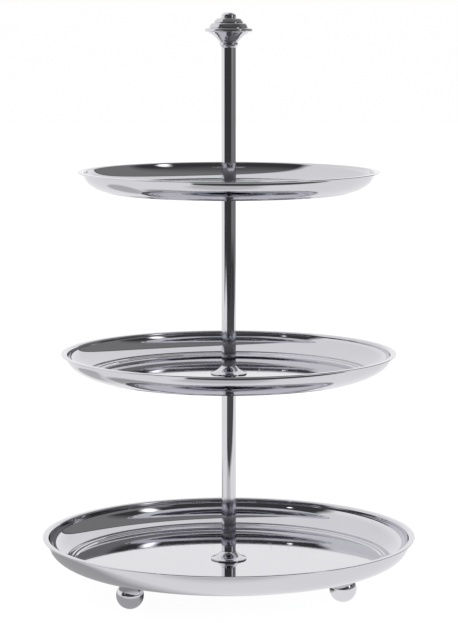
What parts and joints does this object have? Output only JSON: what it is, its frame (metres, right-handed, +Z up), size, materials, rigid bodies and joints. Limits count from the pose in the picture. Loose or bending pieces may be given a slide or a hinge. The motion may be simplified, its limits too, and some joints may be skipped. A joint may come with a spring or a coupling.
{
  "type": "cake stand",
  "caption": "Tiered serving stand: round polished steel trays of decreasing size on a central column, with ball feet and a stepped finial.",
  "frame": {"origin": "floor level, at the axis of the central column", "axes": "+Z up along the column; -Y is the side towards the viewer, +X to the viewer's right"},
  "size_m": [0.31, 0.31, 0.4806],
  "materials": {
    "tray_steel": "mirror polished stainless steel sheet",
    "rod_steel": "polished stainless steel tube",
    "fitting_steel": "polished turned stainless steel",
    "fastener_steel": "bright plated turned steel"
  },
  "bodies": {
    "base": {"bottom_tray": "tray_steel", "left_foot_ball": "fitting_steel", "left_foot_stud": "fastener_steel", "right_foot_ball": "fitting_steel", "right_foot_stud": "fastener_steel", "back_foot_ball": "fitting_steel", "back_foot_stud": "fastener_steel", "base_washer": "fastener_steel", "base_screw": "fastener_steel"},
    "bottom_collar": {"bottom_collar": "fitting_steel"},
    "lower_column": {"lower_rod": "rod_steel", "lower_rod_bottom_plug": "fastener_steel", "lower_rod_top_plug": "fastener_steel", "lower_stud": "fastener_steel"},
    "middle_tray": {"middle_tray": "tray_steel"},
    "middle_collar": {"middle_collar": "fitting_steel"},
    "middle_column": {"middle_rod": "rod_steel", "middle_rod_bottom_plug": "fastener_steel", "middle_rod_top_plug": "fastener_steel", "middle_stud": "fastener_steel"},
    "top_tray": {"top_tray": "tray_steel"},
    "top_collar": {"top_collar": "fitting_steel"},
    "upper_column": {"upper_rod": "rod_steel", "upper_rod_bottom_plug": "fastener_steel", "upper_rod_top_plug": "fastener_steel", "upper_stud": "fastener_steel"},
    "finial_ferrule": {"finial_ferrule": "fitting_steel"},
    "finial": {"finial": "fitting_steel"}
  },
  "joints": [
    {"name": "lower_rod_unscrew", "type": "hinge", "parent": "base", "child": "bottom_collar", "pos_m": [0, 0, 0.0272], "axis": [0, 0, 1], "range_deg": [0, 3240]},
    {"name": "lower_rod_lift", "type": "slide", "parent": "bottom_collar", "child": "lower_column", "axis": [0, 0, 1], "range_m": [0, 0.009]},
    {"name": "middle_tray_swivel", "type": "hinge", "parent": "lower_column", "child": "middle_tray", "pos_m": [0, 0, 0.1825], "axis": [0, 0, 1], "continuous": true},
    {"name": "middle_rod_unscrew", "type": "hinge", "parent": "lower_column", "child": "middle_collar", "pos_m": [0, 0, 0.1836], "axis": [0, 0, 1], "range_deg": [0, 3240]},
    {"name": "middle_rod_lift", "type": "slide", "parent": "middle_collar", "child": "middle_column", "axis": [0, 0, 1], "range_m": [0, 0.009]},
    {"name": "top_tray_swivel", "type": "hinge", "parent": "middle_column", "child": "top_tray", "pos_m": [0, 0, 0.3348], "axis": [0, 0, 1], "continuous": true},
    {"name": "upper_rod_unscrew", "type": "hinge", "parent": "middle_column", "child": "top_collar", "pos_m": [0, 0, 0.3359], "axis": [0, 0, 1], "range_deg": [0, 3240]},
    {"name": "upper_rod_lift", "type": "slide", "parent": "top_collar", "child": "upper_column", "axis": [0, 0, 1], "range_m": [0, 0.009]},
    {"name": "finial_unscrew", "type": "hinge", "parent": "upper_column", "child": "finial_ferrule", "pos_m": [0, 0, 0.4523], "axis": [0, 0, 1], "range_deg": [0, 3240]},
    {"name": "finial_lift", "type": "slide", "parent": "finial_ferrule", "child": "finial", "axis": [0, 0, 1], "range_m": [0, 0.009]}
  ],
  "couplings": [
    {"joint": "lower_rod_unscrew", "follows": "lower_rod_lift", "rad_per_m": 6283.2},
    {"joint": "middle_rod_unscrew", "follows": "middle_rod_lift", "rad_per_m": 6283.2},
    {"joint": "upper_rod_unscrew", "follows": "upper_rod_lift", "rad_per_m": 6283.2},
    {"joint": "finial_unscrew", "follows": "finial_lift", "rad_per_m": 6283.2}
  ]
}
